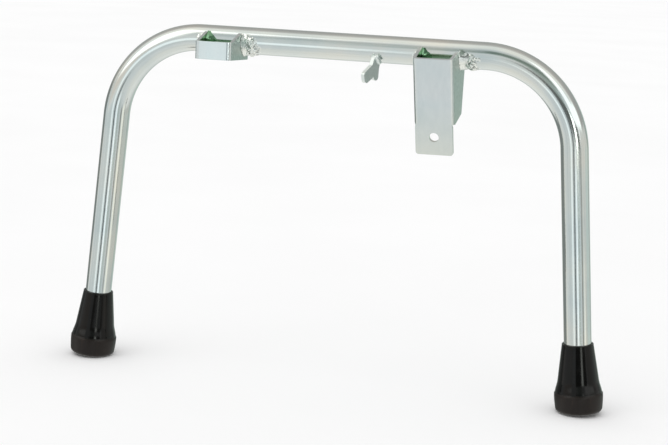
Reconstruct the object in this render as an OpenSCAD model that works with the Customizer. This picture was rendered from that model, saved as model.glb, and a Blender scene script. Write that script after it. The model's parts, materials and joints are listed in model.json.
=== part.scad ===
// Centre stand of a small scooter or moped: one bent tube that carries a short stop bracket,
// a tall bracket with a hole in its tab, a spring hook and the welds that hold them,
// with a rubber boot pushed on the end of each leg.
// Frame: origin in the middle of the top tube's axis, +X to the right, -Y to the front, +Z up.

/* [Tube] */
// Outside diameter of the tube
tube_d = 20; // [18:0.5:22]
// Wall thickness of the tube
tube_wall = 1.8; // [1.2:0.1:2.5]
// Half the length of the straight top run
top_half = 108; // [108:1:130]
// Centre-line radius of both bends
bend_r = 68; // [50:1:90]
// Outward lean of each leg, in degrees
leg_splay = 5; // [0:0.5:12]
// Straight length of each leg below its bend
leg_len = 183.2; // [120:0.1:240]

/* [Bracket sheet] */
// Thickness of the bracket sheet
sheet = 2.5; // [2:0.1:3]
// Outside radius of the folds in the sheet
fold_r = 4; // [3.5:0.1:5]

/* [Stop bracket] */
// Middle of the stop bracket along the top tube
stop_x = -88.6; // [-90:0.1:-60]
// Outside width of the stop bracket
stop_w = 28.8; // [24:0.1:34]
// Height of the stop bracket's front plate
stop_h = 13.2; // [10:0.1:16]
// Front face's distance in front of the tube's axis
stop_reach = 30.5; // [26:0.5:36]
// Depth of the plate's top edge below the tube's axis
stop_drop = 0.3; // [0:0.1:3]

/* [Tall bracket] */
// Middle of the tall bracket along the top tube
tall_x = 75.65; // [60:0.05:80]
// Outside width of the folded part
tall_w = 29.3; // [26:0.1:34]
// Length of the folded part, along the plate
tall_h = 50.5; // [46:0.5:56]
// Length of the flat tab below it
tab_h = 22.3; // [18:0.1:30]
// Step in from the fold to the tab, on each side
tab_inset = 0.9; // [0.5:0.1:3]
// Top edge's distance in front of the tube's axis
tall_reach = 32.5; // [28:0.5:36]
// Depth of the plate's top edge below the tube's axis
tall_drop = 2.5; // [0:0.1:5]
// Lean of the plate, its lower end to the back, in degrees
tall_tilt = 16; // [10:0.5:20]
// Swing of the plate's lower end to the right, in degrees
tall_swing = 1; // [0:0.5:2]
// Diameter of the hole in the tab
tab_hole_d = 7; // [5:0.5:9]
// Hole's centre above the tab's lower edge
tab_hole_up = 13.5; // [10:0.1:15]

/* [Spring hook] */
// Thickness of the spring hook's plate
hook_t = 3; // [2.5:0.1:4]
// Place of the hook's right face along the top tube
hook_x = 28; // [10:0.5:40]
// Turn of the hook's plate out of the plane across the tube, in degrees
hook_turn = 25; // [0:1:40]

/* [Boots] */
// Height of each rubber boot
boot_h = 50.5; // [44:0.1:60]
// Outside radius at the boot's upper rim
boot_rim_r = 11.4; // [11.2:0.1:13]
// Outside radius where the boot is widest
boot_wide_r = 17.7; // [16:0.1:20]
// Thickness of rubber under the washer
sole_t = 6; // [4:0.5:8]
// Thickness of the steel washer inside the boot
washer_t = 2; // [1:0.1:3]

/* [Hidden] */

$fn = 96;
zinc = [0.80, 0.83, 0.83];
weld_metal = [0.70, 0.71, 0.68];
rubber = [0.06, 0.05, 0.05];

tube_r = tube_d / 2;
bore_r = tube_r - tube_wall;

// Each bend's ring is drawn this much thinner on both faces, and the bend laps into the straight
// runs by this angle, so that the bends and runs join as one solid.
bend_draw = 0.02;
bend_lap = 0.4;

// The boots: the bore is a push fit, and the tube stops just short of the washer.
push_gap = 0.05;
end_gap = 0.3;
boot_bore_r = tube_r + push_gap;
washer_gap = 0.2;
washer_r = tube_r - washer_gap;
washer_hole_r = 3;
sole_v = leg_len + end_gap + washer_t + sole_t;
rim_round = 0.6;
heel_h = 14.5;
heel_round = 3.5;
heel_step = 0.4;
heel_lip = 0.05;
// How far the heel's side draws in down to its rounded edge, and its widest line's depth below its top.
heel_draft = 0.5;
heel_wide_drop = 4;
// The skirt's taper, the spacing of its outline's points, and its shoulder's start, length and step out.
skirt_taper = 0.143;
skirt_step = 3;
shoulder_start = 27;
shoulder_len = 9;
shoulder_out = 1;

// Flanges of the stop bracket: where they meet the tube in front, and where they end behind it.
stop_rise = 5.6;
stop_tail = 8;
stop_tail_drop = 14.8;
stop_tail_top = -tube_r / 3;

// Flanges of the tall bracket, in the plate's own frame (y back from the plate, z up from its top).
tall_tail_low = 27;
tall_tail_high = 39.4;
tall_tail_high_z = -23.5;
tall_tail_top = 41.5;
tall_tail_top_z = -18.5;
tall_mouth_y = 24;
tall_mouth_z = [0.5, -1.5];
relief_r = 1.2;
tab_corner_r = 2;

// Fillet welds: the leg along the tube, which is longer on the brackets' right sides, the leg up
// the flange, and how hollow the face is.
weld_run = 5;
wide_weld_run = 9;
weld_rise = 2.5;
weld_hollow = 1.4;
weld_steps = 6;
// Where the bracket welds begin and end, in degrees round the tube from its underside to the back.
stop_weld_from = front_angle(stop_rise) + 6;
stop_weld_to = 48;
tall_rise = 2;
tall_weld_from = front_angle(tall_rise) + 4;
tall_weld_to = 52;
// The tall bracket leans a little, so its welds are drawn from this far inside its flanges.
tall_weld_sink = 0.3;

// Spring hook's outline, in its own plane (first value to the front, second up), and its
// plane's origin on the front of the tube.
hook_seat = 0.916 * tube_r;
hook_neck_r = 3.5;
hook_neck_top = [0.1, -7.2];
hook_root = [2, -13.6];
hook_root_r = 4.3;
hook_front = [[11.8, -17.7], [10.9, -21]];
hook_front_r = 2.4;
hook_rear = [0.6, -19.4];
hook_rear_r = 2.6;
hook_weld_r = 1.8;
hook_weld_ends = [[1.2, -5, 0], [-2, -8.8, 0]];

// Cross-section of the tube, with its wall thinner by draw on both faces.
module tube_ring(draw = 0) {
    difference() {
        circle(r = tube_r - draw);
        circle(r = bore_r + draw);
    }
}

// Places its children at the centre of the right bend, x towards the leg's top, -y down the leg.
module at_bend() {
    translate([top_half, 0, -bend_r])
        rotate([90, 0, 0])
            rotate([0, 0, leg_splay])
                children();
}

// Places its children on the right leg's axis, v below the end of the bend, +Z up the leg.
module on_leg(v) {
    at_bend()
        translate([bend_r, -v, 0])
            rotate([-90, 0, 0])
                children();
}

module bend_and_leg() {
    at_bend() {
        rotate([0, 0, -bend_lap])
            rotate_extrude(angle = 90 - leg_splay + 2 * bend_lap)
                translate([bend_r, 0])
                    tube_ring(bend_draw);
        translate([bend_r, 0, 0])
            rotate([90, 0, 0])
                linear_extrude(height = leg_len)
                    tube_ring();
    }
}

module stand_tube() {
    color(zinc)
        union() {
            rotate([0, 90, 0])
                linear_extrude(height = 2 * top_half, center = true)
                    tube_ring();
            bend_and_leg();
            mirror([1, 0, 0])
                bend_and_leg();
        }
}

module tube_space() {
    rotate([0, 90, 0])
        cylinder(r = tube_r, h = 2 * top_half, center = true);
}

// A plate of height h with a fold at each side, hanging from z = 0, its front face on y = 0.
module folded_plate(w, h) {
    translate([fold_r - w / 2, 0, -h])
        cube([w - 2 * fold_r, sheet, h]);
    for (side = [0, 1])
        mirror([side, 0, 0])
            translate([w / 2 - fold_r, fold_r, -h])
                rotate([0, 0, -90])
                    rotate_extrude(angle = 90)
                        translate([fold_r - sheet, 0])
                            square([sheet, h]);
}

// One flange of a folded plate, its left face at x, from its outline in the y-z plane.
module flange(x, outline) {
    translate([x, 0, 0])
        rotate([90, 0, 90])
            linear_extrude(height = sheet)
                polygon(outline);
}

module stop_bracket() {
    outline = [
        [fold_r, 0],
        [fold_r, -stop_h],
        [stop_reach + stop_tail, stop_drop - stop_tail_drop],
        [stop_reach + stop_tail, stop_tail_top],
        [stop_reach - sqrt(tube_r * tube_r - stop_rise * stop_rise), stop_drop + stop_rise]
    ];
    color(zinc)
        difference() {
            translate([stop_x, -stop_reach, -stop_drop]) {
                folded_plate(stop_w, stop_h);
                flange(-stop_w / 2, outline);
                flange(stop_w / 2 - sheet, outline);
            }
            tube_space();
        }
}

// Places its children in the tall bracket's own frame.
module on_tall_bracket() {
    translate([tall_x, -tall_reach, -tall_drop])
        rotate([tall_tilt, 0, 0])
            rotate([0, -tall_swing, 0])
                children();
}

// Outline of a tall bracket's flange, whose top edge meets the tube at height mouth_z.
function tall_flange(mouth_z) = [
    [fold_r, 0],
    [fold_r, -tall_h],
    [tall_tail_low, -tall_h],
    [tall_tail_high, tall_tail_high_z],
    [tall_tail_top, tall_tail_top_z],
    [tall_reach, -tall_drop],
    [tall_mouth_y, mouth_z]
];

// The flat tab with its two round lower corners, from z = top down to z = top - h.
module tab_plate(w, h, top) {
    corner = [for (a = [0:15:90]) tab_corner_r * [1 - cos(a), 1 - sin(a)]];
    left = [for (p = corner) [p[0] - w / 2, p[1] - h]];
    right = [for (i = [len(left) - 1:-1:0]) [-left[i][0], left[i][1]]];
    translate([0, sheet, top])
        rotate([90, 0, 0])
            linear_extrude(height = sheet)
                polygon(concat([[-w / 2, 0]], left, right, [[w / 2, 0]]));
}

module tall_bracket() {
    color(zinc)
        difference() {
            on_tall_bracket()
                difference() {
                    union() {
                        folded_plate(tall_w, tall_h);
                        flange(-tall_w / 2, tall_flange(tall_mouth_z[0]));
                        flange(tall_w / 2 - sheet, tall_flange(tall_mouth_z[1]));
                        tab_plate(tall_w - 2 * tab_inset, tab_h + relief_r, relief_r - tall_h);
                    }
                    translate([0, -sheet, tab_hole_up - tall_h - tab_h])
                        rotate([-90, 0, 0])
                            cylinder(d = tab_hole_d, h = 3 * sheet);
                    for (side = [-1, 1])
                        translate([side * tall_w / 2, -sheet, -tall_h])
                            rotate([-90, 0, 0])
                                cylinder(r = relief_r, h = 3 * sheet);
                }
            tube_space();
        }
}

// Places its children with x to the hook's front edge, y up and z out of its right face.
module on_hook() {
    translate([hook_x, -hook_seat, 0])
        rotate([0, 0, -90 - hook_turn])
            rotate([90, 0, 0])
                children();
}

// Spring hook's plate: a neck that stands on the tube, and a tail with two lobes.
module hook_plate() {
    translate([0, 0, -hook_t])
        linear_extrude(height = hook_t) {
            hull() {
                translate(hook_neck_top)
                    circle(r = hook_neck_r, $fn = 48);
                translate(hook_root)
                    circle(r = hook_root_r, $fn = 48);
            }
            hull() {
                translate(hook_root)
                    circle(r = hook_root_r, $fn = 48);
                for (p = hook_front)
                    translate(p)
                        circle(r = hook_front_r, $fn = 48);
            }
            hull() {
                translate(hook_root)
                    circle(r = hook_root_r, $fn = 48);
                translate(hook_rear)
                    circle(r = hook_rear_r, $fn = 48);
            }
        }
}

module spring_hook() {
    color(zinc)
        difference() {
            on_hook()
                hook_plate();
            tube_space();
        }
}

// A fillet weld round the tube, against the plane x, on the side that way points to.
module ring_weld(x, way, run, from_deg, to_deg) {
    face = [
        for (i = [0:weld_steps])
            let (a = 90 * i / weld_steps)
                [tube_r + weld_rise * pow(cos(a), weld_hollow), run * pow(sin(a), weld_hollow)]
    ];
    color(weld_metal)
        translate([x, 0, 0])
            mirror([way < 0 ? 1 : 0, 0, 0])
                rotate([0, 90, 0])
                    rotate([0, 0, from_deg])
                        rotate_extrude(angle = to_deg - from_deg)
                            polygon(concat([[tube_r, 0]], face));
}

// Angle round the tube's axis from its underside, towards the front, of the point at height z.
function front_angle(z) = -acos(-z / tube_r);

// Distance of a flange's face from the bracket's middle: flange side, on the face that way points to.
function flange_face(w, side, way) = side * (w / 2 - (side == way ? 0 : sheet));

module stop_bracket_weld(side, way, run) {
    ring_weld(stop_x + flange_face(stop_w, side, way), way, run, stop_weld_from, stop_weld_to);
}

module tall_bracket_weld(side, way, run) {
    face = flange_face(tall_w, side, way);
    difference() {
        ring_weld(tall_x + face - way * tall_weld_sink, way, run, tall_weld_from, tall_weld_to);
        on_tall_bracket()
            translate([side * (tall_w - sheet) / 2 - sheet / 2, 0, -tall_h])
                cube([sheet, tall_reach * 2, tall_h + tube_r]);
    }
}

// A short bead in the corner between the hook's plate and the tube, way being its side.
module hook_weld(way) {
    slab = 40;
    color(weld_metal)
        difference() {
            on_hook()
                translate([0, 0, way > 0 ? 0 : -hook_t])
                    hull()
                        for (p = hook_weld_ends)
                            translate(p)
                                sphere(r = hook_weld_r, $fn = 32);
            tube_space();
            on_hook()
                translate([-slab / 2, -slab / 2, -hook_t])
                    cube([slab, slab, hook_t]);
        }
}

// Outside radius of the boot's skirt, d below the rim.
function skirt_r(d) =
    let (t = max(0, min(1, (d - shoulder_start) / shoulder_len)))
        boot_rim_r + skirt_taper * d + shoulder_out * t * t * (3 - 2 * t);

// A rubber boot: a flared skirt, a wider heel with a round lower edge, and a blind bore.
module boot() {
    skirt_h = boot_h - heel_h;
    rim_start = 2 * rim_round;
    wide_z = heel_h - heel_wide_drop;
    edge_r = boot_wide_r - heel_draft - heel_round;
    skirt = [
        for (d = [skirt_h:-skirt_step:rim_start])
            [skirt_r(d) - heel_step * d / skirt_h, boot_h - d]
    ];
    heel_edge = [
        for (a = [-90:15:0])
            [edge_r + heel_round * cos(a), heel_round + heel_round * sin(a)]
    ];
    rim = [
        for (a = [0:30:90])
            [boot_rim_r - rim_round + rim_round * cos(a), boot_h - rim_round + rim_round * sin(a)]
    ];
    color(rubber)
        difference() {
            rotate_extrude()
                polygon(concat(
                    [[0, 0]],
                    heel_edge,
                    [[boot_wide_r, wide_z], [skirt_r(skirt_h) + heel_lip, heel_h]],
                    skirt,
                    rim,
                    [[0, boot_h]]
                ));
            translate([0, 0, sole_t])
                cylinder(r = boot_bore_r, h = boot_h);
        }
}

module boot_washer() {
    color(zinc)
        translate([0, 0, sole_t])
            difference() {
                cylinder(r = washer_r, h = washer_t);
                translate([0, 0, -washer_t])
                    cylinder(r = washer_hole_r, h = 3 * washer_t);
            }
}

module right_boot() {
    on_leg(sole_v)
        boot();
}

module left_boot() {
    mirror([1, 0, 0])
        right_boot();
}

module right_boot_washer() {
    on_leg(sole_v)
        boot_washer();
}

module left_boot_washer() {
    mirror([1, 0, 0])
        right_boot_washer();
}

stand_tube();
stop_bracket();
tall_bracket();
spring_hook();
stop_bracket_weld(-1, -1, weld_run);  // stop_bracket_weld_left
stop_bracket_weld(1, 1, wide_weld_run);  // stop_bracket_weld_right
stop_bracket_weld(-1, 1, weld_run);  // stop_bracket_weld_inner
tall_bracket_weld(-1, -1, weld_run);  // tall_bracket_weld_left
tall_bracket_weld(1, 1, wide_weld_run);  // tall_bracket_weld_right
tall_bracket_weld(-1, 1, weld_run);  // tall_bracket_weld_inner
hook_weld(-1);  // spring_hook_weld_left
hook_weld(1);  // spring_hook_weld_right
left_boot();
right_boot();
left_boot_washer();
right_boot_washer();
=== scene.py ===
import json
import math

import bmesh
import bpy
from mathutils import Matrix, Vector, noise


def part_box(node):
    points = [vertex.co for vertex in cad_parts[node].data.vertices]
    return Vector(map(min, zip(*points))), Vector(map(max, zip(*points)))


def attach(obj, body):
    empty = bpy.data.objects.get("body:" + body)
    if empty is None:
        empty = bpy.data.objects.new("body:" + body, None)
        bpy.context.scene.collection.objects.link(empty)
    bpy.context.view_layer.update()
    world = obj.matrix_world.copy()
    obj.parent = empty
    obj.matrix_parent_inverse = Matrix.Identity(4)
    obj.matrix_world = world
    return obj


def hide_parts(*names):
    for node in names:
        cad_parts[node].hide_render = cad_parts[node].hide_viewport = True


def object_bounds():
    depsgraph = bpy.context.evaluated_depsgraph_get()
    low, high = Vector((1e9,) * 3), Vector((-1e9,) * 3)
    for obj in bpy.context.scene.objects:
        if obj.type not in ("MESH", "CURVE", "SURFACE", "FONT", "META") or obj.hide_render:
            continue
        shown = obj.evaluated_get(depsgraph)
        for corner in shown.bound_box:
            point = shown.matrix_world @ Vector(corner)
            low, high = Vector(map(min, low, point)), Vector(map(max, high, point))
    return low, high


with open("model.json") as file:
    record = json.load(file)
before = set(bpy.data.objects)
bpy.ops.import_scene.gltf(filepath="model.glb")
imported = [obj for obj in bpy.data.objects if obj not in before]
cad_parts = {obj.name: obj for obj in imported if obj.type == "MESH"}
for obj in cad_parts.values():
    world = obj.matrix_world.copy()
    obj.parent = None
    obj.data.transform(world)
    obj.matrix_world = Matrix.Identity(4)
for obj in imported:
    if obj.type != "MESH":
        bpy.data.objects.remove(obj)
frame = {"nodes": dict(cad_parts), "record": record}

# Looks of the centre stand: a bent zinc-plated tube, folded brackets, a spring hook, weld beads
# and two rubber boots. Everything is in metres, in the CAD frame, and rides on the CAD bodies.

MM = 0.001
CAD_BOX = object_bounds()
MOUNTS = {m["name"]: m for m in frame["record"]["mounts"]}

# ---------------------------------------------------------------- sizes

PIVOT = MOUNTS["pivot_tube"]["dims"]
TUBE_R = PIVOT["r_mm"] * MM
TOP_HALF = PIVOT["length_mm"] * MM / 2
SOLE = Vector(MOUNTS["right_sole"]["pos_m"])
LEG_DOWN = Vector(MOUNTS["right_sole"]["axis"])
SPLAY = math.atan2(LEG_DOWN.x, -LEG_DOWN.z)
# The bend touches the top run at TOP_HALF and is tangent to the leg, which fixes its radius.
LEG_OUT = Vector((math.cos(SPLAY), 0, math.sin(SPLAY)))
BEND_R = (LEG_OUT.dot(SOLE) - LEG_OUT.x * TOP_HALF) / (1 - LEG_OUT.z)
LEG_TOP = Vector((TOP_HALF, 0, -BEND_R)) + BEND_R * LEG_OUT
HOLE = Vector(MOUNTS["tab_hole"]["pos_m"])
# Edges nearer to the hole's middle than this belong to the hole.
HOLE_ZONE = MOUNTS["tab_hole"]["dims"]["r_mm"] * MM + 2.5 * MM
FLOOR_Z = CAD_BOX[0].z
# Sizes that the frame's record doesn't name, the same as in the CAD model.
TUBE_WALL = 1.8 * MM
BORE_R = TUBE_R - TUBE_WALL
SOLE_T = 6 * MM
TUBE_END_H = 8.3 * MM
BOOT_H = 50.5 * MM
BOOT_BORE_R = TUBE_R + 0.05 * MM
BOOT_RIM_R = 11.4 * MM
BOOT_WIDE_R = 17.7 * MM
HEEL_H = 14.5 * MM
# Corners of CAD faces that are nearer to each other than this are one point.
SAME_PLACE = 0.002 * MM

# ---------------------------------------------------------------- small helpers


def smooth(a, b, x):
    """0 on a's side, 1 on b's side, and a smooth step between; a may be the larger one."""
    t = min(1.0, max(0.0, (x - a) / (b - a)))
    return t * t * (3 - 2 * t)


def between(start, end, share):
    """The value that lies a share of the way from start to end."""
    return start + (end - start) * share


def copy_cad_mesh(node, suffix):
    """A copy of a CAD node's mesh, and a bmesh of it whose faces share their corners."""
    mesh = frame["nodes"][node].data.copy()
    mesh.name = node + suffix
    bm = bmesh.new()
    bm.from_mesh(mesh)
    bmesh.ops.remove_doubles(bm, verts=bm.verts, dist=SAME_PLACE)
    return mesh, bm


def write_mesh(bm, mesh):
    """Fills a mesh from a bmesh, and drops the CAD's own normals if it carries them."""
    bm.to_mesh(mesh)
    bm.free()
    if mesh.has_custom_normals:
        mesh.attributes.remove(mesh.attributes["custom_normal"])


def shade_smooth(mesh, sharp_degrees=35):
    """Smooth shading, with every edge sharper than the angle kept sharp."""
    for face in mesh.polygons:
        face.use_smooth = True
    mesh.set_sharp_from_angle(angle=math.radians(sharp_degrees))


def add_object(name, mesh, body, *replaced):
    """Links a mesh as a piece that rides on a body and stands for the CAD nodes in replaced."""
    obj = bpy.data.objects.new(name, mesh)
    bpy.context.scene.collection.objects.link(obj)
    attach(obj, body)
    if replaced:
        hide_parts(*replaced)
    return obj


def dress(obj, material):
    """Gives a piece its only material."""
    obj.data.materials.clear()
    obj.data.materials.append(material)


# ---------------------------------------------------------------- node trees


# Most of a noise's values lie in this range.
NOISE_RANGE = (0.3, 0.7)


class Nodes:
    """A node tree under construction: node() adds a node and links or sets its inputs."""

    def __init__(self, tree):
        self.tree = tree
        self.tree.nodes.clear()

    def node(self, kind, inputs=None, **settings):
        made = self.tree.nodes.new(kind)
        for key, value in settings.items():
            setattr(made, key, value)
        for key, value in (inputs or {}).items():
            self.put(made, key, value)
        return made

    def put(self, made, key, value):
        """Links an input to a socket, or sets it to a plain value."""
        if isinstance(value, bpy.types.NodeSocket):
            self.tree.links.new(value, made.inputs[key])
        else:
            made.inputs[key].default_value = value

    def coords(self, output="Object", scale=(1, 1, 1)):
        source = self.node("ShaderNodeTexCoord").outputs[output]
        return self.node("ShaderNodeMapping", {"Vector": source, "Scale": scale}).outputs["Vector"]

    def attribute(self, name):
        return self.node("ShaderNodeAttribute", attribute_name=name).outputs["Fac"]

    def noise(self, vector, scale, detail=3.0, roughness=0.55):
        made = self.node("ShaderNodeTexNoise", {
            "Vector": vector, "Scale": scale, "Detail": detail, "Roughness": roughness})
        return made.outputs["Fac"]

    def ramp(self, fac, stops):
        """A colour for each value, from stops given as (value, (red, green, blue))."""
        made = self.node("ShaderNodeValToRGB", {"Fac": fac})
        ramp = made.color_ramp
        while len(ramp.elements) < len(stops):
            ramp.elements.new(0.5)
        for element, (place, colour) in zip(ramp.elements, stops):
            element.position = place
            element.color = (*colour, 1)
        return made.outputs["Color"]

    def remap(self, value, low, high, to_low, to_high):
        made = self.node("ShaderNodeMapRange", {
            "Value": value, "From Min": low, "From Max": high,
            "To Min": to_low, "To Max": to_high})
        return made.outputs["Result"]

    def vary(self, fac, low, high):
        """low to high over the range of a noise."""
        return self.remap(fac, *NOISE_RANGE, low, high)

    def fade(self, value, inner, soft):
        """1 up to inner, then a smooth fall to 0 over soft."""
        made = self.node("ShaderNodeMapRange", {
            "Value": value, "From Min": inner, "From Max": inner + soft,
            "To Min": 1.0, "To Max": 0.0}, interpolation_type="SMOOTHSTEP")
        return made.outputs["Result"]

    def math(self, operation, a, b):
        return self.node("ShaderNodeMath", {0: a, 1: b}, operation=operation).outputs["Value"]

    def mix(self, fac, a, b, blend="MIX"):
        made = self.node("ShaderNodeMix", data_type="RGBA", blend_type=blend)
        self.put(made, 0, fac)
        self.put(made, 6, a)
        self.put(made, 7, b)
        return made.outputs[2]

    def bump(self, height, strength, distance):
        made = self.node("ShaderNodeBump", {
            "Height": height, "Strength": strength, "Distance": distance})
        return made.outputs["Normal"]


class Shader(Nodes):
    """A material with one Principled shader, whose inputs set() links or sets."""

    def __init__(self, name):
        self.material = bpy.data.materials.new(name)
        self.material.use_nodes = True
        super().__init__(self.material.node_tree)
        self.bsdf = self.node("ShaderNodeBsdfPrincipled")
        self.node("ShaderNodeOutputMaterial", {"Surface": self.bsdf.outputs["BSDF"]})

    def set(self, **values):
        for key, value in values.items():
            self.put(self.bsdf, key.replace("_", " "), value)


# ---------------------------------------------------------------- materials


def zinc_tube_material():
    """Bright zinc on drawn tube: glossy, with faint lines along its length and pale tints."""
    s = Shader("zinc_tube")
    along = s.coords("UV", (60, 9, 1))
    fine = s.coords("UV", (190, 14, 1))
    place = s.coords("Object")
    cloud = s.noise(place, 22, 4)
    lines = s.noise(along, 1.0, 4, 0.6)
    hair = s.noise(fine, 1.0, 3, 0.6)
    speck = s.noise(place, 1500, 2)
    tint = s.ramp(cloud, [
        (0.30, (0.60, 0.65, 0.66)), (0.50, (0.68, 0.71, 0.70)), (0.72, (0.74, 0.73, 0.69))])
    worn = s.ramp(lines, [(0.30, (0.90, 0.92, 0.92)), (0.70, (1.0, 1.0, 1.0))])
    s.set(Base_Color=s.mix(1.0, tint, worn, "MULTIPLY"), Metallic=1.0)
    s.set(Roughness=s.math("ADD", s.vary(cloud, 0.07, 0.14), s.vary(lines, -0.01, 0.05)))
    height = s.math("ADD", s.math("MULTIPLY", hair, 0.8), s.math("MULTIPLY", speck, 0.35))
    s.set(Normal=s.bump(height, 0.10, 0.2 * MM))
    return s.material


def zinc_sheet_material(name, low_rough, high_rough, pale):
    """Bright zinc on pressed sheet, mixed with a pale tint by the share pale. It has faint upright
    rolling marks and is warmer lower down. Inside the channels (attribute inside) it has painted
    shade, darker and green, deepest next to the tube. The channels' outer flanks (attribute flank)
    are duller and mottled."""
    s = Shader(name)
    place = s.coords("Object")
    cloud = s.noise(place, 30, 3)
    roll = s.noise(s.coords("Object", (420, 420, 14)), 1.0, 3)
    tint = s.ramp(cloud, [
        (0.30, (0.63, 0.69, 0.70)), (0.50, (0.69, 0.735, 0.745)), (0.72, (0.73, 0.755, 0.76))])
    tint = s.mix(pale, tint, (0.95, 0.99, 0.96, 1))
    height = s.node("ShaderNodeSeparateXYZ", {0: place}).outputs["Z"]
    low_down = s.remap(height, -35 * MM, -75 * MM, 0.0, 0.8)
    tint = s.mix(low_down, tint, (0.78, 0.78, 0.70, 1))
    # Painted shade inside the channels, tinted green, deepest next to the tube.
    near_tube = s.remap(height, -50 * MM, -12 * MM, 0.22, 0.85)
    channel_shade = s.math("MULTIPLY", s.attribute("inside"), near_tube)
    tint = s.mix(channel_shade, tint, (0.40, 0.57, 0.39, 1))
    flank = s.attribute("flank")
    spots = s.noise(place, 420, 4)
    mottle = s.ramp(spots, [(0.30, (0.60, 0.68, 0.62)), (0.70, (0.80, 0.86, 0.81))])
    tint = s.mix(flank, tint, s.mix(1.0, tint, mottle, "MULTIPLY"))
    streak = s.ramp(roll, [(0.35, (0.96, 0.965, 0.97)), (0.65, (1.0, 1.0, 1.0))])
    s.set(Base_Color=s.mix(1.0, tint, streak, "MULTIPLY"), Metallic=1.0)
    rough = s.math("ADD", s.vary(cloud, low_rough, high_rough), s.vary(roll, -0.01, 0.02))
    s.set(Roughness=s.math("ADD", rough, s.math("MULTIPLY", flank, 0.16)))
    s.set(Normal=s.bump(roll, 0.06, 0.1 * MM))
    return s.material


def weld_material(name, hollow_shade, mid_tint, crest_tint):
    """Weld metal under zinc, with painted shade from its dark hollows to its light crests (a vertex
    attribute).
    """
    s = Shader(name)
    place = s.coords("Object")
    fine = s.noise(place, 700, 4, 0.6)
    patch = s.noise(place, 260, 3)
    level = s.math("ADD", s.attribute("relief_shade"), s.vary(fine, -0.14, 0.14))
    # Painted shade: the hollows near black, the crests light.
    colour = s.ramp(level, [(0.16, hollow_shade), (0.46, mid_tint), (0.74, crest_tint)])
    s.set(Base_Color=colour, Metallic=1.0, Roughness=s.vary(patch, 0.10, 0.24))
    s.set(Normal=s.bump(fine, 0.22, 0.3 * MM))
    return s.material


def rubber_material():
    """Moulded black rubber: a glossy skirt, a duller heel (vertex attribute heel), a brown cast."""
    s = Shader("boot_rubber")
    place = s.coords("Object")
    cloud = s.noise(place, 70, 4)
    grain = s.noise(place, 1600, 3)
    scuff = s.noise(s.coords("Object", (420, 420, 60)), 1.0, 4)
    heel = s.attribute("heel")
    skirt = s.ramp(cloud, [(0.35, (0.0008, 0.0007, 0.0006)), (0.70, (0.0028, 0.0022, 0.0018))])
    colour = s.mix(heel, skirt, (0.0105, 0.0070, 0.0056, 1))
    marks = s.ramp(scuff, [(0.60, (1.0, 1.0, 1.0)), (0.80, (2.6, 2.4, 2.2))])
    s.set(Base_Color=s.mix(1.0, colour, marks, "MULTIPLY"))
    rough = s.math("ADD", s.vary(cloud, 0.09, 0.15), s.remap(scuff, 0.4, 0.8, 0.0, 0.10))
    s.set(Roughness=s.math("ADD", rough, s.math("MULTIPLY", heel, 0.26)))
    s.set(IOR=1.42, Specular_IOR_Level=0.32, Normal=s.bump(grain, 0.08, 0.2 * MM))
    return s.material


def washer_material():
    """Plain pressed steel, a little cloudy."""
    s = Shader("washer_steel")
    cloud = s.noise(s.coords("Object"), 120, 4)
    colour = s.ramp(cloud, [(0.3, (0.50, 0.51, 0.52)), (0.7, (0.66, 0.67, 0.68))])
    s.set(Base_Color=colour, Metallic=1.0, Roughness=s.vary(cloud, 0.30, 0.45))
    return s.material


def floor_material():
    """Plain matt floor, almost white."""
    s = Shader("studio_floor")
    cloud = s.noise(s.coords("Object"), 3, 2)
    s.set(Base_Color=s.ramp(cloud, [(0.3, (0.93, 0.93, 0.93)), (0.7, (0.95, 0.95, 0.95))]))
    s.set(Roughness=1.0, Specular_IOR_Level=0.0)
    return s.material


# ---------------------------------------------------------------- the bent tube


TUBE_AROUND = 128
BEND_FLATTENING = 0.012


def tube_path():
    """Stations along the whole tube, from the left leg's end to the right one's, as (place,
    direction across the tube and away from the arch, how far it is bent there, 0 to 1)."""
    right = []
    steps_top, steps_bend, steps_leg = 40, 56, 60
    for i in range(steps_top):
        x = TOP_HALF * i / steps_top
        right.append((Vector((x, 0, 0)), Vector((0, 0, 1)), 0.0))
    for i in range(steps_bend):
        a = math.pi / 2 - (math.pi / 2 - SPLAY) * i / steps_bend
        out = Vector((math.cos(a), 0, math.sin(a)))
        bending = math.sin(math.pi * i / steps_bend) ** 0.5
        right.append((Vector((TOP_HALF, 0, -BEND_R)) + BEND_R * out, out, bending))
    leg_end = SOLE - TUBE_END_H * LEG_DOWN
    for i in range(steps_leg + 1):
        right.append((LEG_TOP.lerp(leg_end, i / steps_leg), LEG_OUT, 0.0))
    left = [(Vector((-place.x, 0, place.z)), Vector((-out.x, 0, out.z)), bending)
            for place, out, bending in right[:0:-1]]
    return left + right


def lengths_along(path):
    """Distance of each station from the path's start."""
    lengths = [0.0]
    for (last, _, _), (place, _, _) in zip(path, path[1:]):
        lengths.append(lengths[-1] + (place - last).length)
    return lengths


def tube_rings(bm, path, radius):
    """A ring of points round each station, a little flattened where the tube bends."""
    rings = []
    for place, out, bending in path:
        across = radius * (1 - BEND_FLATTENING * bending)
        ring = []
        for k in range(TUBE_AROUND):
            a = 2 * math.pi * k / TUBE_AROUND
            offset = out * (across * math.cos(a)) + Vector((0, radius * math.sin(a), 0))
            ring.append(bm.verts.new(place + offset))
        rings.append(ring)
    return rings


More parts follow.
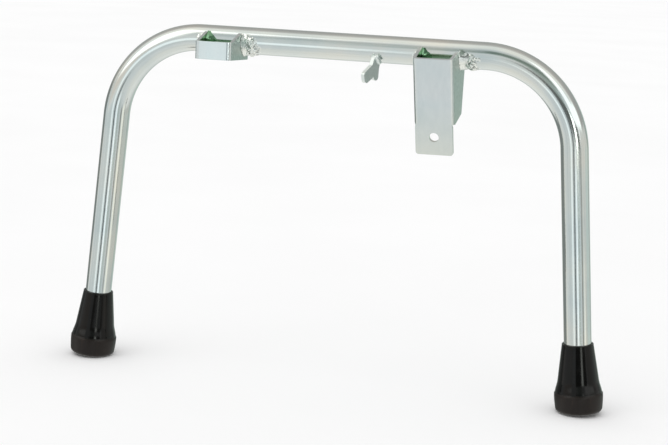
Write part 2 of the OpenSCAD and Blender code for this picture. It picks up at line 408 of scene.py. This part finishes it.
def make_tube(material):
    """The hollow bent tube, open at both ends. Its UVs are the share of the way round and the
    distance along, in metres."""
    mesh = bpy.data.meshes.new("stand_tube_skin")
    bm = bmesh.new()
    uv_layer = bm.loops.layers.uv.new("UVMap")
    path = tube_path()
    along = lengths_along(path)
    outer = tube_rings(bm, path, TUBE_R)
    bore = tube_rings(bm, path, BORE_R)

    def quad(corners, uvs):
        face = bm.faces.new(corners)
        for loop, uv in zip(face.loops, uvs):
            loop[uv_layer].uv = uv

    for rings, way in ((outer, 1), (bore, -1)):
        for i in range(len(path) - 1):
            for k in range(TUBE_AROUND):
                n = (k + 1) % TUBE_AROUND
                u, next_u = k / TUBE_AROUND, (k + 1) / TUBE_AROUND
                v, next_v = along[i], along[i + 1]
                corners = [rings[i][k], rings[i][n], rings[i + 1][n], rings[i + 1][k]]
                uvs = [(u, v), (next_u, v), (next_u, next_v), (u, next_v)]
                quad(corners[::way], uvs[::way])
    for end, way in ((0, 1), (-1, -1)):
        for k in range(TUBE_AROUND):
            n = (k + 1) % TUBE_AROUND
            corners = [outer[end][k], bore[end][k], bore[end][n], outer[end][n]]
            quad(corners[::way], [(k / TUBE_AROUND, along[end])] * 4)
    bmesh.ops.recalc_face_normals(bm, faces=bm.faces)
    write_mesh(bm, mesh)
    shade_smooth(mesh)
    tube = add_object("stand_tube_skin", mesh, "frame", "stand_tube")
    dress(tube, material)


# ---------------------------------------------------------------- folded sheet and hook


def mark_channel(bm):
    """Marks the faces inside a folded channel, and those outside on its two flanks."""
    clearly = 2 * MM
    middle_x = sum(v.co.x for v in bm.verts) / len(bm.verts)
    inside = bm.faces.layers.float["inside"]
    flank = bm.faces.layers.float["flank"]
    for face in bm.faces:
        outward = (face.calc_center_median().x - middle_x) * face.normal.x
        faces_back = face.normal.y > 0.7
        faces_sideways = abs(face.normal.x) > 0.9
        face[inside] = 1.0 if outward < -clearly or faces_back else 0.0
        face[flank] = 1.0 if outward > clearly and faces_sideways else 0.0


def weigh_edges(bm, hole):
    """Weighs the edges for the bevel: less round the hole, and none where faces meet nearly flat."""
    corner, hole_share = math.radians(40), 0.35
    weight = bm.edges.layers.float.new("bevel_weight_edge")
    for edge in bm.edges:
        if len(edge.link_faces) == 2 and edge.calc_face_angle(0) > corner:
            middle = (edge.verts[0].co + edge.verts[1].co) / 2
            near_hole = hole is not None and (middle - hole).length < HOLE_ZONE
            edge[weight] = hole_share if near_hole else 1.0


def make_sheet_part(node, material, bevel, channel=False, hole=None):
    """A copy of a CAD node with its flat faces joined up and its edges rolled over by bevel,
    or by less round the hole, given as a place on its axis. A channel's inside and outer flanks
    are marked for its material."""
    mesh, bm = copy_cad_mesh(node, "_skin")
    bmesh.ops.dissolve_limit(
        bm, angle_limit=math.radians(0.6), verts=bm.verts, edges=bm.edges, delimit=set())
    for mark in ("inside", "flank"):
        bm.faces.layers.float.new(mark)
    if channel:
        mark_channel(bm)
    weigh_edges(bm, hole)
    write_mesh(bm, mesh)
    shade_smooth(mesh, 28)
    piece = add_object(node + "_skin", mesh, "frame", node)
    dress(piece, material)
    edge = piece.modifiers.new("edge", "BEVEL")
    edge.width = bevel
    edge.segments = 3
    edge.limit_method = "WEIGHT"
    edge.harden_normals = True
    edge.miter_outer = "MITER_ARC"


# ---------------------------------------------------------------- weld beads


# Beads round the tube. way is the side they grow to, turn, run and rise are pairs for the bead's
# start at the front and its end under the tube: degrees from the underside towards the back, mm
# along the tube and mm out from it. seed picks the lumps.
RING_WELDS = {
    "stop_bracket_weld_left": dict(
        way=-1, turn=(-118, 44), run=(4.5, 5), rise=(1.4, 2.6),
        rough=0.7, smooth_share=0.5, ease=0.06, seed=3),
    "stop_bracket_weld_right": dict(
        way=1, turn=(-126, 42), run=(9, 12), rise=(0.4, 5.0),
        rough=1.15, smooth_share=0.48, ease=0.06, seed=5),
    "stop_bracket_weld_inner": dict(
        way=1, turn=(-126, 40), run=(9, 6), rise=(3.2, 3.0),
        rough=0.12, smooth_share=0.9, ease=0.22, seed=15),
    "tall_bracket_weld_left": dict(
        way=-1, turn=(-98, 50), run=(4.5, 5), rise=(1.4, 2.6),
        rough=0.7, smooth_share=0.5, ease=0.06, seed=7),
    "tall_bracket_weld_right": dict(
        way=1, turn=(-114, 50), run=(11, 11.5), rise=(1.6, 3.2),
        rough=1.1, smooth_share=0.66, ease=0.22, seed=9),
    "tall_bracket_weld_inner": dict(
        way=1, turn=(-112, 40), run=(8, 6), rise=(2.8, 3.0),
        rough=0.12, smooth_share=0.9, ease=0.22, seed=19),
}
HOOK_WELD_SEEDS = {"spring_hook_weld_left": 11, "spring_hook_weld_right": 13}


def flange_x(node, way):
    """x of the flange face that a weld's CAD box touches, for a weld that grows to way."""
    low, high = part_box(node)
    return low.x if way > 0 else high.x


def weld_noise(x, y, seed):
    """Lumps (about -1 to 1) and pits (0 to 1) of rough weld metal at a place given in mm."""
    shift = Vector((seed * 17.3, seed * 5.9, seed * 2.1))
    lumps = noise.fractal(Vector((x * 0.42, y * 0.42, 0)) + shift, 0.9, 2.1, 4)
    nearest = noise.voronoi(Vector((x * 0.62, y * 0.62, 1)) + shift)[0]
    return lumps, smooth(0.42, 0.0, nearest[0])


def skin_bead(bm, top, bottom):
    """Faces over, under and round a bead, from its rows of points."""
    steps, across = len(top) - 1, len(top[0]) - 1
    for i in range(steps):
        for j in range(across):
            bm.faces.new([top[i][j], top[i + 1][j], top[i + 1][j + 1], top[i][j + 1]])
            bm.faces.new([bottom[i][j], bottom[i][j + 1], bottom[i + 1][j + 1], bottom[i + 1][j]])
        for j in (0, -1):
            bm.faces.new([top[i][j], bottom[i][j], bottom[i + 1][j], top[i + 1][j]])
    for i in (0, -1):
        for j in range(across):
            bm.faces.new([top[i][j], top[i][j + 1], bottom[i][j + 1], bottom[i][j]])
    bmesh.ops.recalc_face_normals(bm, faces=bm.faces)


def make_ring_weld(node, way, turn, run, rise, rough, smooth_share, ease, seed):
    """Weld metal round the tube, from a flange's face. It is a height over the tube's surface: a
    hollow fillet, smooth up to smooth_share of its run, then with lumps and pits (by the factor
    rough) that fade out. It swells to full size over the first share ease of its way round, and
    tapers over the last tenth. RING_WELDS says what the other values are."""
    steps, across = 200, 44
    sunk, deepest_pit = 0.45 * MM, 0.3 * MM
    run, rise = [length * MM for length in run], [height * MM for height in rise]
    face = flange_x(node, way)
    mesh = bpy.data.meshes.new(node + "_bead")
    bm = bmesh.new()
    relief_shade = bm.verts.layers.float.new("relief_shade")
    top, bottom = [], []
    for i in range(steps + 1):
        u = i / steps
        a = math.radians(between(*turn, u))
        radial = Vector((0, math.sin(a), -math.cos(a)))
        arc = TUBE_R * a / MM
        ends = smooth(0, ease, u) * smooth(1, 0.90, u)
        wander = noise.fractal(Vector((arc * 0.16, seed * 3.7, 0)), 1.0, 2.0, 3)
        here_rise = between(*rise, u ** 3) * between(0.25, 1, ends)
        here_run = between(*run, u) * (1 + 0.34 * rough * wander) * between(0.35, 1, ends)
        here_rough = rough * between(0.45, 1, smooth(0.15, 0.50, u))
        reach = here_run * (1.02 + 0.30 * rough)
        top_row, bottom_row = [], []
        for j in range(across + 1):
            x = reach * (j / across) ** 1.5
            share = x / here_run
            fillet = here_rise * (1 - min(1.0, share) ** 0.62) ** 1.5
            lumps, pits = weld_noise(x / MM, arc, seed)
            wild = here_rough * smooth(smooth_share * 0.6, smooth_share * 1.1 + 0.05, share)
            fade = smooth(reach / here_run, 0.72, share) * ends
            relief = wild * fade * (lumps + 0.65 - 1.3 * pits) + 0.10 * lumps * fade - 0.06
            spot = Vector((face + way * x, 0, 0))
            height = max(-deepest_pit, fillet + relief * MM)
            v = bm.verts.new(spot + radial * (TUBE_R + height))
            # Painted shade in the bead's tone: darker in the pits and along the crease at the
            # flange, lighter on the lumps.
            tone = 0.74 + wild * (0.60 * lumps - 0.95 * pits) + 0.12 * lumps
            v[relief_shade] = tone - 0.3 * smooth(0.06, 0, share)
            top_row.append(v)
            bottom_row.append(bm.verts.new(spot + radial * (TUBE_R - sunk)))
        top.append(top_row)
        bottom.append(bottom_row)
    skin_bead(bm, top, bottom)
    write_mesh(bm, mesh)
    shade_smooth(mesh, 75)
    return add_object(node + "_bead", mesh, "frame", node)


def make_hook_weld(node, seed):
    """A short lumpy bead in the corner between the hook's plate and the tube."""
    longest_edge, lump_height, lumps_per_metre = 0.8 * MM, 0.20 * MM, 700
    mesh, bm = copy_cad_mesh(node, "_bead")
    bmesh.ops.triangulate(bm, faces=bm.faces)
    long_edges = [e for e in bm.edges if e.calc_length() > longest_edge]
    bmesh.ops.subdivide_edges(bm, edges=long_edges, cuts=2, use_grid_fill=True)
    relief_shade = bm.verts.layers.float.new("relief_shade")
    bm.normal_update()
    shift = Vector((seed * 5.1, 0, seed))
    for v in bm.verts:
        lump = noise.noise(v.co * lumps_per_metre + shift)
        v.co += v.normal * (lump_height * lump)
        # The bead's tone as painted shade: darker between the lumps, lighter on them.
        v[relief_shade] = 0.70 + 0.35 * lump
    write_mesh(bm, mesh)
    shade_smooth(mesh, 70)
    return add_object(node + "_bead", mesh, "frame", node)


# ---------------------------------------------------------------- rubber boots


def boot_profile():
    """Half section of a boot as (radius, height above the sole), from the sole's middle,
    up the outside, over the rim and down the bore to the washer's seat."""
    dish, edge_r, bulge, lip = 0.6 * MM, 3.4 * MM, 0.5 * MM, 0.55 * MM
    heel_r = BOOT_WIDE_R - bulge
    points = [(0.0, dish), (5 * MM, dish), (5.8 * MM, 0.0), (11.6 * MM, 0.0)]
    for k in range(13):
        a = math.pi / 2 * (k / 12 - 1)
        points.append((heel_r - edge_r * (1 - math.cos(a)), edge_r * (1 + math.sin(a))))
    for k in range(1, 9):
        h = edge_r + (HEEL_H - 0.8 * MM - edge_r) * k / 8
        points.append((heel_r + bulge * math.sin(math.pi * 0.62 * k / 8), h))
    top_r = BOOT_WIDE_R - 0.22 * MM
    points += [(top_r - 0.06 * MM, HEEL_H - 0.35 * MM), (top_r - 0.32 * MM, HEEL_H - 0.05 * MM)]
    # The skirt, by its depth below the rim, widens evenly and then more towards the heel.
    skirt_h, rim_depth, flare = BOOT_H - HEEL_H, 1.9 * MM, 0.143
    for k in range(1, 33):
        depth = skirt_h * (1 - k / 32)
        r = BOOT_RIM_R + flare * depth + MM * smooth(27 * MM, 36 * MM, depth)
        if depth > rim_depth:
            points.append((r - 0.42 * MM * depth / skirt_h, BOOT_H - depth))
    points += [(BOOT_RIM_R + 0.22 * MM, BOOT_H - 1.8 * MM),
               (BOOT_RIM_R + 0.16 * MM, BOOT_H - 1.5 * MM)]
    rim_middle = BOOT_RIM_R - lip + 0.1 * MM
    for k in range(7):
        a = math.pi / 2 * k / 6
        points.append((rim_middle + lip * math.cos(a), BOOT_H - lip + lip * math.sin(a)))
    points += [(BOOT_BORE_R + 0.3 * MM, BOOT_H), (BOOT_BORE_R, BOOT_H - 0.4 * MM),
               (BOOT_BORE_R, SOLE_T), (0.0, SOLE_T)]
    return points


def make_boot(side, node, material):
    """A boot turned from its profile, with two faint mould lines, standing on its leg's axis.
    side is 1 for the right leg and -1 for the left one."""
    around = 120
    seam_height, seam_half_width = 0.09 * MM, 0.03
    mesh = bpy.data.meshes.new(node + "_skin")
    bm = bmesh.new()
    heel = bm.verts.layers.float.new("heel")
    rings = []
    for radius, height in boot_profile():
        if radius == 0:
            rings.append([bm.verts.new((0, 0, height))])
            continue
        outside = radius > BOOT_BORE_R + 0.5 * MM and height > 1 * MM
        on_heel = 1 - smooth(HEEL_H - 0.4 * MM, HEEL_H + 0.6 * MM, height)
        ring = []
        for k in range(around):
            a = 2 * math.pi * k / around
            seam = max(0.0, 1 - abs(math.sin(a)) / seam_half_width) if outside else 0.0
            r = radius + seam_height * seam
            v = bm.verts.new((r * math.cos(a), r * math.sin(a), height))
            v[heel] = on_heel
            ring.append(v)
        rings.append(ring)
    for low, high in zip(rings, rings[1:]):
        for k in range(around):
            n = (k + 1) % around
            if len(low) == 1:
                bm.faces.new([low[0], high[n], high[k]])
            elif len(high) == 1:
                bm.faces.new([low[k], low[n], high[0]])
            else:
                bm.faces.new([low[k], low[n], high[n], high[k]])
    bmesh.ops.recalc_face_normals(bm, faces=bm.faces)
    write_mesh(bm, mesh)
    place = Vector((side * SOLE.x, SOLE.y, SOLE.z))
    up = Vector((-side * math.sin(SPLAY), 0, math.cos(SPLAY)))
    mesh.transform(Matrix.Translation(place) @ up.to_track_quat("Z", "Y").to_matrix().to_4x4())
    shade_smooth(mesh, 50)
    boot = add_object(node + "_skin", mesh, node, node)
    dress(boot, material)


# ---------------------------------------------------------------- studio


def make_floor():
    """A wide pale floor; reflections look past it, at the studio's cards."""
    bm = bmesh.new()
    reach = 30.0
    bm.faces.new([bm.verts.new((x * reach, y * reach, FLOOR_Z))
                  for x, y in ((-1, -1), (1, -1), (1, 1), (-1, 1))])
    mesh = bpy.data.meshes.new("studio_floor")
    write_mesh(bm, mesh)
    mesh.materials.append(floor_material())
    floor = bpy.data.objects.new("studio_floor", mesh)
    bpy.context.scene.collection.objects.link(floor)
    floor.visible_glossy = False


# What a reflection sees at each pitch, in degrees: 0 is the front, 90 straight up, 180 the back
# and -90 straight down.
PITCH_COLOURS = [
    (-180, (0.44, 0.50, 0.47)), (-160, (0.54, 0.59, 0.56)), (-138, (0.90, 0.91, 0.88)),
    (-120, (1.04, 1.04, 1.00)), (-70, (0.95, 0.95, 0.90)), (-42, (0.84, 0.87, 0.87)),
    (-22, (0.76, 0.80, 0.80)), (-2, (0.78, 0.83, 0.83)), (12, (0.84, 0.87, 0.86)),
    (27, (0.70, 0.75, 0.74)), (46, (0.58, 0.62, 0.61)), (60, (0.86, 0.88, 0.86)),
    (70, (1.02, 1.02, 0.96)), (90, (1.10, 1.09, 1.02)), (103, (0.72, 0.69, 0.65)),
    (118, (0.56, 0.53, 0.50)), (150, (0.47, 0.47, 0.45)), (180, (0.44, 0.50, 0.47))]

# Softboxes (bright) and flags (dark) that reflections see in front of those colours, as (azimuth,
# half width, elevation, half height, soft edge, colour), in degrees, azimuth from the front
# towards +X. Later ones cover earlier ones.
STUDIO_CARDS = [
    (-50, 15, 30, 26, 9, (1.85, 1.85, 1.78)),
    (54, 10, 34, 26, 8, (1.60, 1.63, 1.60)),
    (80, 10, 20, 7, 6, (1.60, 1.66, 1.60)),
    (10, 20, 36, 7.5, 6, (0.22, 0.28, 0.24)),
    (14, 8, 14, 12, 6, (0.42, 0.48, 0.45)),
    (-120, 22, -10, 14, 9, (0.26, 0.28, 0.27)),
    (168, 8, -10, 14, 8, (0.62, 0.72, 0.66)),
    (-19, 4, -11, 7, 3, (1.25, 1.33, 1.33)),
    (17, 3, -11, 7, 3, (1.45, 1.55, 1.58)),
    (0, 2.5, -11, 7, 3, (0.07, 0.09, 0.10)),
    (33, 5, -11, 7, 4, (0.58, 0.64, 0.62)),
    (58, 3, -11, 7, 4, (0.36, 0.36, 0.32)),
    (78, 6, -11, 9, 6, (1.25, 1.22, 1.08)),
    (112, 24, -12, 6, 6, (0.70, 0.70, 0.65)),
    (-50, 20, 5, 4, 5, (0.85, 0.80, 0.74)),
    (95, 30, 3, 7, 5, (0.80, 0.80, 0.76)),
    (26, 29, 4.5, 5.5, 3, (0.16, 0.17, 0.16)),
    (31, 3.5, 4, 5, 3, (4.4, 4.6, 4.3)),
    (117, 14, -6, 5, 4, (0.72, 0.80, 0.76)),
]

# The colours above are divided by this in the node tree, and the background's strength makes up
# for it.
STUDIO_STRENGTH = 2.0
EVEN_LIGHT = 0.93
BACKDROP = 0.98


def make_world():
    """Studio surroundings: even light, cards that only reflections see, and a white backdrop."""
    world = bpy.data.worlds.new("studio")
    bpy.context.scene.world = world
    world.use_nodes = True
    w = Nodes(world.node_tree)
    degree = math.radians(1)
    direction = w.node("ShaderNodeTexCoord").outputs["Generated"]
    xyz = w.node("ShaderNodeSeparateXYZ", {0: direction}).outputs
    front = w.math("MULTIPLY", xyz["Y"], -1.0)
    azimuth = w.math("DIVIDE", w.math("ARCTAN2", xyz["X"], front), degree)
    elevation = w.math("DIVIDE", w.math("ARCSINE", xyz["Z"], 0.0), degree)
    pitch = w.math("DIVIDE", w.math("ARCTAN2", xyz["Z"], front), degree)
    colour = w.ramp(w.remap(pitch, -180, 180, 0, 1),
                    [((place + 180) / 360, [c / STUDIO_STRENGTH for c in rgb])
                     for place, rgb in PITCH_COLOURS])
    for place, half_width, height, half_height, soft, rgb in STUDIO_CARDS:
        across = w.math("ABSOLUTE", w.math("SUBTRACT", azimuth, place), 0.0)
        up = w.math("ABSOLUTE", w.math("SUBTRACT", elevation, height), 0.0)
        inside = w.math("MULTIPLY", w.fade(across, half_width, soft), w.fade(up, half_height, soft))
        colour = w.mix(inside, colour, (*(c / STUDIO_STRENGTH for c in rgb), 1))
    cards = w.node("ShaderNodeBackground", {"Color": colour, "Strength": STUDIO_STRENGTH})
    white = (1, 1, 1, 1)
    even = w.node("ShaderNodeBackground", {"Color": white, "Strength": EVEN_LIGHT})
    backdrop = w.node("ShaderNodeBackground", {"Color": white, "Strength": BACKDROP})
    ray = w.node("ShaderNodeLightPath").outputs
    lit = w.node("ShaderNodeMixShader", {
        0: ray["Is Glossy Ray"], 1: even.outputs["Background"], 2: cards.outputs["Background"]})
    seen = w.node("ShaderNodeMixShader", {
        0: ray["Is Camera Ray"], 1: lit.outputs["Shader"], 2: backdrop.outputs["Background"]})
    w.node("ShaderNodeOutputWorld", {"Surface": seen.outputs["Shader"]})


def make_key_light():
    """A wide soft light from the upper left front, for the shadow under the stand."""
    light = bpy.data.lights.new("key", "SUN")
    light.energy = 0.42
    light.angle = math.radians(50)
    key = bpy.data.objects.new("key", light)
    key.rotation_euler = (math.radians(28), math.radians(-18), 0)
    key.visible_glossy = False
    bpy.context.scene.collection.objects.link(key)


CAMERA_AIM = Vector((0.001, 0.0, -0.131))
CAMERA_TURN = math.radians(15.31)
CAMERA_RISE = math.radians(10.15)
CAMERA_ROLL = math.radians(2.65)
CAMERA_AWAY = 1.195
# Focal length and sensor width, in the camera's own millimetres.
CAMERA_LENS = 86.2
CAMERA_SENSOR = 36


def make_camera():
    """A camera that looks from a little above and from the right, slightly rolled."""
    data = bpy.data.cameras.new("camera")
    data.lens = CAMERA_LENS
    data.sensor_width = CAMERA_SENSOR
    data.clip_start = 0.05
    data.clip_end = 60
    camera = bpy.data.objects.new("camera", data)
    back = Vector((
        math.sin(CAMERA_TURN) * math.cos(CAMERA_RISE),
        -math.cos(CAMERA_TURN) * math.cos(CAMERA_RISE),
        math.sin(CAMERA_RISE)))
    turn = (-back).to_track_quat("-Z", "Y").to_matrix() @ Matrix.Rotation(CAMERA_ROLL, 3, "Z")
    camera.matrix_world = Matrix.Translation(CAMERA_AIM + back * CAMERA_AWAY) @ turn.to_4x4()
    bpy.context.scene.collection.objects.link(camera)
    bpy.context.scene.camera = camera


# ---------------------------------------------------------------- everything together

zinc_tube = zinc_tube_material()
zinc_sheet = zinc_sheet_material("zinc_sheet", 0.19, 0.26, 0.0)
zinc_hook = zinc_sheet_material("zinc_hook", 0.42, 0.54, 0.6)
weld_metal = weld_material(
    "weld_metal", (0.03, 0.03, 0.028), (0.28, 0.30, 0.28), (0.80, 0.82, 0.79))
# The inner welds sit in the channels: their dark green tints are painted shade.
weld_green_shade = weld_material(
    "weld_green_shade", (0.03, 0.06, 0.035), (0.10, 0.20, 0.12), (0.18, 0.33, 0.20))
rubber = rubber_material()
washer_steel = washer_material()

make_tube(zinc_tube)
make_sheet_part("stop_bracket", zinc_sheet, 0.8 * MM, channel=True)
make_sheet_part("tall_bracket", zinc_sheet, 0.7 * MM, channel=True, hole=HOLE)
make_sheet_part("spring_hook", zinc_hook, 1.0 * MM)

for name, bead in RING_WELDS.items():
    material = weld_green_shade if "inner" in name else weld_metal
    dress(make_ring_weld(name, **bead), material)
for name, seed in HOOK_WELD_SEEDS.items():
    dress(make_hook_weld(name, seed), zinc_hook)

make_boot(1, "right_boot", rubber)
make_boot(-1, "left_boot", rubber)
for name in ("left_boot_washer", "right_boot_washer"):
    washer = frame["nodes"][name]
    washer.data.materials.clear()
    washer.data.materials.append(washer_steel)

make_camera()
make_floor()
make_world()
make_key_light()
bpy.context.scene.view_settings.view_transform = "Standard"
